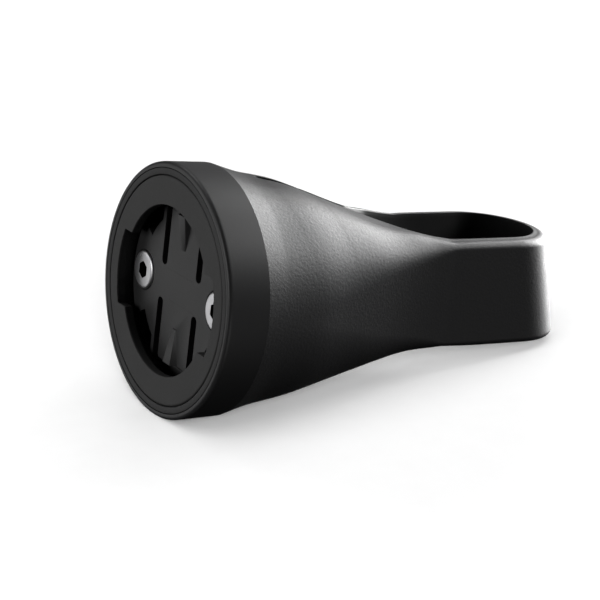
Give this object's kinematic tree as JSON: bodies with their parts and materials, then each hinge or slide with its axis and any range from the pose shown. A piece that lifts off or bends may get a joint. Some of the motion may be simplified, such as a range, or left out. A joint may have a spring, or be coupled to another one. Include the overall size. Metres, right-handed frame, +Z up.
{
  "type": "cycling computer mount",
  "caption": "Quarter-turn bayonet socket with sprung detent tongues on a conical elastomer body that ends in a closed stretch-on strap loop.",
  "frame": {"origin": "centre of the detent plate's front face, the floor of the quarter-turn socket", "axes": "-Y out of the socket towards the rider's device, +Z up along the socket face, the strap loop runs back along +Y"},
  "size_m": [0.0406, 0.0771, 0.0406],
  "materials": {
    "elastomer": "fine moulded grain, soft sheen",
    "collar": "smooth satin",
    "carrier": "matt moulded",
    "ring": "matt moulded",
    "detent": "low sheen moulded",
    "screw": "bright",
    "insert": "machined"
  },
  "bodies": {
    "mount": {"strap_body": "elastomer", "front_collar": "collar", "carrier_cup": "carrier", "bayonet_ring": "ring", "detent_plate": "detent", "screw_left": "screw", "screw_right": "screw", "insert_left": "insert", "insert_right": "insert"},
    "upper_tongue": {"tongue_upper": "detent"},
    "lower_tongue": {"tongue_lower": "detent"}
  },
  "joints": [
    {"name": "upper_tongue_flex", "type": "hinge", "parent": "mount", "child": "upper_tongue", "pos_m": [0, 0.0006, 0.0027], "axis": [-1, 0, 0], "range_deg": [0, 6], "stiffness_Nm_per_rad": 0.3},
    {"name": "lower_tongue_flex", "type": "hinge", "parent": "mount", "child": "lower_tongue", "pos_m": [0, 0.0006, -0.0027], "axis": [1, 0, 0], "range_deg": [0, 6], "stiffness_Nm_per_rad": 0.3}
  ]
}
